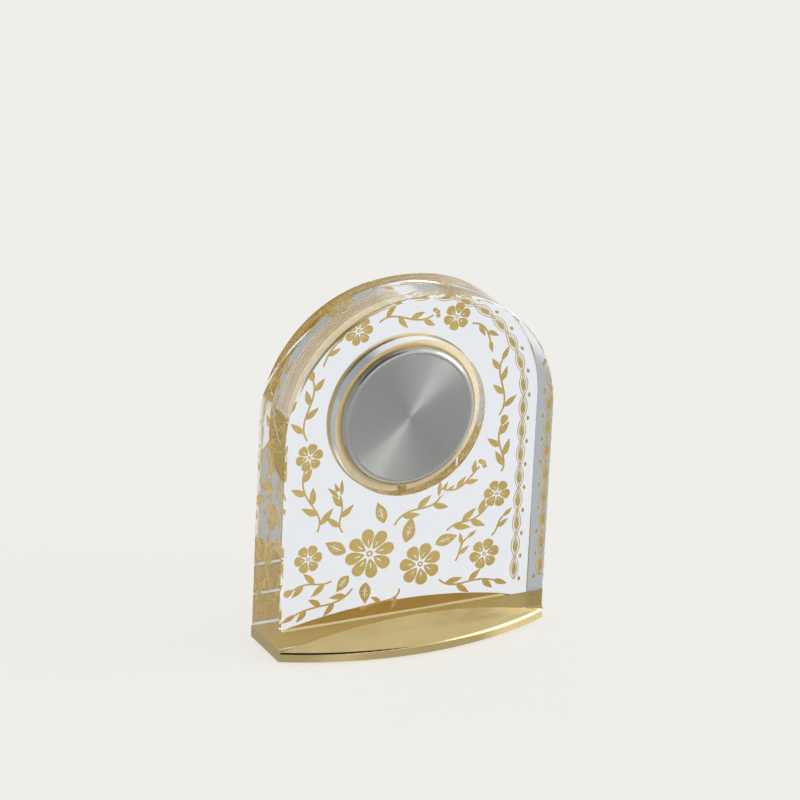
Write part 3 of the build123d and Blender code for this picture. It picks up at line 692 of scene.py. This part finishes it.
# Hands: pressed brass blades, the hour and minute hands gilt, the second hand lacquered black.
# Each is pushed onto its tube or arbor by a round hub.
dress(gilt_marks, "hour_hand", "minute_hand")
black_lacquer, tree, shader = new_surface("black_lacquer", (0.02, 0.02, 0.022), roughness=0.3)
mottle(tree, shader, grain(tree, 900), (0.015, 0.015, 0.016), (0.03, 0.03, 0.033))
dress(black_lacquer, "second_hand")

# Movement: a moulded spacer, a brass main plate and bridge with a fine matte grain, and steel screws.
# The stem, the piece that holds its groove and the cell's clip are of the same bright steel.
spacer_plastic, tree, shader = new_surface("spacer_plastic", (0.75, 0.75, 0.72), roughness=0.55)
mottle(tree, shader, grain(tree, 1500), (0.72, 0.72, 0.69), (0.78, 0.78, 0.75))
dress(spacer_plastic, "dial_spacer")

blast_height = 0.01 * mm
plate_brass, tree, shader = new_surface("plate_brass", (0.70, 0.56, 0.30), metallic=1.0, roughness=0.4)
blast = grain(tree, 5000, detail=5.0)
mottle(tree, shader, blast, (0.64, 0.50, 0.26), (0.74, 0.60, 0.33))
emboss(tree, shader, blast, blast_height)
dress(plate_brass, "main_plate", "train_bridge")

bright_steel, tree, shader = new_surface("bright_steel", (0.62, 0.62, 0.63), metallic=1.0, roughness=0.25)
mottle(tree, shader, grain(tree, 2000), (0.57, 0.57, 0.58), (0.67, 0.67, 0.68))
dress(bright_steel, "bridge_screw_1", "bridge_screw_2", "bridge_screw_3", "stem", "pull_piece",
      "battery_clip")

# Wheels: stamped brass with cut teeth, in the going train and the motion work.
# Fine stamping grain dulls their faces a little.
wheel_brass, tree, shader = new_surface("wheel_brass", (0.80, 0.62, 0.31), metallic=1.0, roughness=0.25)
mottle(tree, shader, grain(tree, 3000), (0.75, 0.57, 0.27), (0.84, 0.66, 0.35))
spread(tree, grain(tree, 1200), 0.18, 0.32, shader.inputs["Roughness"])
dress(wheel_brass, "seconds_wheel", "third_wheel", "centre_wheel", "intermediate_wheel", "cannon_pinion",
      "minute_wheel", "hour_wheel", "setting_wheel")

# Motor: a dark sintered magnet in a soft-iron stator, and a coil of lacquered copper on its core.
# The windings show as fine rings along the coil.
magnet, tree, shader = new_surface("magnet", (0.10, 0.10, 0.11), metallic=0.8, roughness=0.5)
mottle(tree, shader, grain(tree, 4000, detail=5.0), (0.08, 0.08, 0.09), (0.14, 0.14, 0.15))
dress(magnet, "rotor")

soft_iron, tree, shader = new_surface("soft_iron", (0.42, 0.42, 0.43), metallic=1.0, roughness=0.35)
rolled = grain(tree, 2500, stretch=(1, 1, 8))
mottle(tree, shader, rolled, (0.37, 0.37, 0.38), (0.47, 0.47, 0.48))
dress(soft_iron, "stator", "coil_core")

turn_height = 0.02 * mm
copper_wire, tree, shader = new_surface("copper_wire", (0.60, 0.22, 0.10), metallic=0.9, roughness=0.3)
turns = grain(tree, 300, detail=1.0, stretch=(0.1, 0.1, 30))
mottle(tree, shader, turns, (0.42, 0.14, 0.06), (0.68, 0.27, 0.13))
emboss(tree, shader, turns, turn_height)
dress(copper_wire, "coil")

# Circuit: a green laminate board with its chip, a bright crystal can and the button cell.
# The can and the cell are nickel plated.
laminate, tree, shader = new_surface("laminate", (0.03, 0.12, 0.06), roughness=0.4)
mottle(tree, shader, grain(tree, 1500, detail=5.0), (0.022, 0.10, 0.05), (0.04, 0.15, 0.075))
dress(laminate, "circuit_board")

nickel, tree, shader = new_surface("nickel", (0.68, 0.66, 0.62), metallic=1.0, roughness=0.2)
mottle(tree, shader, grain(tree, 1800), (0.63, 0.61, 0.57), (0.73, 0.71, 0.67))
spread(tree, grain(tree, 900), 0.15, 0.28, shader.inputs["Roughness"])
dress(nickel, "crystal_can", "battery")

# Case back: a spun steel cap, its flat brushed in fine circles and its rounded shoulder polished.
# It snaps into the drum and is what shows through the back of the glass.
steel_dark = (0.495, 0.475, 0.44)
steel_light = (0.70, 0.675, 0.625)
brushed_radius = 22.3 * mm
polish_edge = 0.2 * mm
brushed_roughness = 0.42
polished_roughness = 0.1
brush_strength = 0.95
rings_per_metre = 9000
spun_steel, tree, shader = new_surface("spun_steel", steel_light, metallic=1.0, roughness=0.3)
shader.inputs["Anisotropic"].default_value = brush_strength
place = tree.nodes.new("ShaderNodeTexCoord")
from_axis = tree.nodes.new("ShaderNodeVectorMath")
from_axis.operation = "SUBTRACT"
from_axis.inputs[1].default_value = dial_axis
flat = tree.nodes.new("ShaderNodeVectorMath")
flat.operation = "MULTIPLY"
flat.inputs[1].default_value = (1, 0, 1)
radius = tree.nodes.new("ShaderNodeVectorMath")
radius.operation = "LENGTH"
outwards = tree.nodes.new("ShaderNodeVectorMath")
outwards.operation = "NORMALIZE"
pitch = tree.nodes.new("ShaderNodeMath")
pitch.operation = "MULTIPLY"
pitch.inputs[1].default_value = rings_per_metre
rings = tree.nodes.new("ShaderNodeTexNoise")
rings.noise_dimensions = "1D"
rings.inputs["Scale"].default_value = 1.0
rings.inputs["Detail"].default_value = 6.0
polish = tree.nodes.new("ShaderNodeMapRange")
polish.inputs["From Min"].default_value = brushed_radius
polish.inputs["From Max"].default_value = brushed_radius + polish_edge
polish.inputs["To Min"].default_value = brushed_roughness
polish.inputs["To Max"].default_value = polished_roughness
tree.links.new(place.outputs["Object"], from_axis.inputs[0])
tree.links.new(from_axis.outputs["Vector"], flat.inputs[0])
tree.links.new(flat.outputs["Vector"], radius.inputs[0])
tree.links.new(flat.outputs["Vector"], outwards.inputs[0])
tree.links.new(outwards.outputs["Vector"], shader.inputs["Tangent"])
tree.links.new(radius.outputs["Value"], pitch.inputs[0])
tree.links.new(pitch.outputs["Value"], rings.inputs["W"])
mottle(tree, shader, rings.outputs["Fac"], steel_dark, steel_light)
tree.links.new(radius.outputs["Value"], polish.inputs["Value"])
tree.links.new(polish.outputs["Result"], shader.inputs["Roughness"])
dress(spun_steel, "case_back")

# Studio: a wide pale floor in a pale room, which lights matte pieces evenly from all sides.
# The camera sees one plain backdrop, and looks through the glass at plain light. Only paths mirrored in
# metal or inside the glass see the room's darker sides and its small windows.
# The floor shows its own colour to the camera, is faint in glass and metal, and keeps the clock's shadow.
backdrop = (0.850, 0.837, 0.790)
floor_light = (0.860, 0.847, 0.800)
dim_wall = (0.82, 0.92, 1.0)
lit_wall = (0.93, 0.95, 1.0)
floor_size = 8.0
floor_glow = 0.75
metal_glow = 0.3
floor_fade = 0.75
glass_dim = 0.7
straight_level = 0.9
bpy.ops.object.select_all(action="DESELECT")
bpy.ops.mesh.primitive_plane_add(size=floor_size, location=(0, 0, 0))
floor = bpy.context.active_object
floor.name = "floor"
pale_floor, tree, shader = new_surface("pale_floor", backdrop, roughness=0.9)
shader.inputs["Specular IOR Level"].default_value = 0.0
mottle(tree, shader, grain(tree, 2.0), backdrop, floor_light)
seen = tree.nodes.new("ShaderNodeLightPath")
glow = tree.nodes.new("ShaderNodeEmission")
lit = tree.nodes.new("ShaderNodeMixShader")
beyond = tree.nodes.new("ShaderNodeBsdfTransparent")
blend = tree.nodes.new("ShaderNodeMixShader")
glow.inputs["Color"].default_value = (*backdrop, 1)
to_camera = worked(tree, "MULTIPLY", seen.outputs["Is Camera Ray"], floor_glow)
to_metal = worked(tree, "MULTIPLY", seen.outputs["Is Glossy Ray"], metal_glow)
off_glass = worked(tree, "MAXIMUM", seen.outputs["Is Transmission Ray"], seen.outputs["Is Glossy Ray"])
to_glass = worked(tree, "MULTIPLY", off_glass, floor_fade)
tree.links.new(worked(tree, "MAXIMUM", to_camera, to_metal), lit.inputs["Fac"])
tree.links.new(shader.outputs["BSDF"], lit.inputs[1])
tree.links.new(glow.outputs["Emission"], lit.inputs[2])
tree.links.new(to_glass, blend.inputs["Fac"])
tree.links.new(lit.outputs["Shader"], blend.inputs[1])
tree.links.new(beyond.outputs["BSDF"], blend.inputs[2])
tree.links.new(blend.outputs["Shader"], tree.nodes["Material Output"].inputs["Surface"])
floor.data.materials.append(pale_floor)

room = bpy.data.worlds.new("pale_room")
scene.world = room
room.use_nodes = True
tree = room.node_tree
light = tree.nodes["Background"]
around = tree.nodes.new("ShaderNodeTexCoord")


def room_part(direction, edge, middle, outside, inside):
    """Strength of the room that changes smoothly towards one direction.

    It runs from outside, where the cosine to the direction is edge, to inside, where it is middle.
    """
    towards = tree.nodes.new("ShaderNodeVectorMath")
    towards.operation = "DOT_PRODUCT"
    towards.inputs[1].default_value = Vector(direction).normalized()
    shade = tree.nodes.new("ShaderNodeMapRange")
    shade.interpolation_type = "SMOOTHSTEP"
    shade.inputs["From Min"].default_value = edge
    shade.inputs["From Max"].default_value = middle
    shade.inputs["To Min"].default_value = outside
    shade.inputs["To Max"].default_value = inside
    tree.links.new(around.outputs["Generated"], towards.inputs[0])
    tree.links.new(towards.outputs["Value"], shade.inputs["Value"])
    return shade.outputs["Result"]


seen = tree.nodes.new("ShaderNodeLightPath")
ceiling = room_part((0, 0, 1), edge=0.2, middle=0.85, outside=0.97, inside=0.70)
left_side = room_part((1, 0, 0), edge=-0.1, middle=0.25, outside=1.0, inside=0.42)
camera_side = room_part((-0.42, 0.82, -0.38), edge=0.86, middle=0.95, outside=1.0, inside=0.45)
dark_side = room_part((0.20, 0.66, 0.72), edge=0.80, middle=0.92, outside=1.0, inside=0.04)
bright_side = room_part((-0.86, 0.36, 0.36), edge=0.84, middle=0.935, outside=0.0, inside=1.6)
low_window = room_part((-0.87, 0.49, 0.05), edge=0.90, middle=0.99, outside=0.0, inside=2.0)
streak_window = room_part((-0.885, 0.418, 0.205), edge=0.955, middle=0.985, outside=0.0, inside=4.5)
through = worked(tree, "MAXIMUM", seen.outputs["Is Transmission Ray"], seen.outputs["Is Camera Ray"])
dimmed = worked(tree, "MAXIMUM", worked(tree, "MULTIPLY", through, glass_dim),
                seen.outputs["Is Camera Ray"])
undimmed = worked(tree, "ABSOLUTE", worked(tree, "SUBTRACT", dimmed, 1.0))
side_glow = worked(tree, "MULTIPLY", bright_side, undimmed)
low_glow = worked(tree, "MULTIPLY", low_window, worked(tree, "LESS_THAN", through, 0.5))
windows = worked(tree, "MAXIMUM", worked(tree, "MAXIMUM", side_glow, low_glow), streak_window)
shaded = worked(tree, "MULTIPLY", worked(tree, "MULTIPLY", ceiling, left_side),
                worked(tree, "MULTIPLY", camera_side, dark_side))
mirrored = worked(tree, "MINIMUM", seen.outputs["Glossy Depth"], 1.0)
straight = worked(tree, "ABSOLUTE", worked(tree, "SUBTRACT", mirrored, 1.0))
walls = worked(tree, "ADD", worked(tree, "MULTIPLY", shaded, mirrored),
               worked(tree, "MULTIPLY", straight, straight_level))
on_surfaces = worked(tree, "MINIMUM", seen.outputs["Diffuse Depth"], 1.0)
plain = worked(tree, "MAXIMUM", on_surfaces, seen.outputs["Is Camera Ray"])
lit_room = worked(tree, "MAXIMUM", worked(tree, "ADD", walls, windows), plain)
wall_colour = tree.nodes.new("ShaderNodeMixRGB")
wall_colour.inputs["Color2"].default_value = (*backdrop, 1)
tree.links.new(seen.outputs["Is Camera Ray"], wall_colour.inputs["Fac"])
tint(tree, lit_room, dim_wall, lit_wall, wall_colour.inputs["Color1"])
tree.links.new(wall_colour.outputs["Color"], light.inputs["Color"])
tree.links.new(lit_room, light.inputs["Strength"])

# Camera: a long lens behind the clock, a little to its left and above, as in the photograph.
# It is tipped slightly, so the near foot of the glass sits lower on the left.
camera_target = Vector((8.753, 11.0, 89.94)) * mm
camera_back = Vector((0.4239, 0.8224, 0.3795)).normalized()
camera_reach = 1.6
camera_tip = radians(2.661)
lens_length = 217.02
sensor_width = 36.0
glass_bounces = 48
metal_bounces = 24
matte_bounces = 8
lens = bpy.data.cameras.new("camera")
lens.sensor_width = sensor_width
lens.lens = lens_length
camera = bpy.data.objects.new("camera", lens)
scene.collection.objects.link(camera)
camera.location = camera_target + camera_back * camera_reach
camera.rotation_mode = "QUATERNION"
camera.rotation_quaternion = (-camera_back).to_track_quat("-Z", "Y") @ Quaternion((0, 0, 1), camera_tip)
scene.camera = camera
scene.view_settings.view_transform = "Standard"
scene.cycles.max_bounces = glass_bounces
scene.cycles.transmission_bounces = glass_bounces
scene.cycles.glossy_bounces = metal_bounces
scene.cycles.diffuse_bounces = matte_bounces
scene.cycles.blur_glossy = 0.0
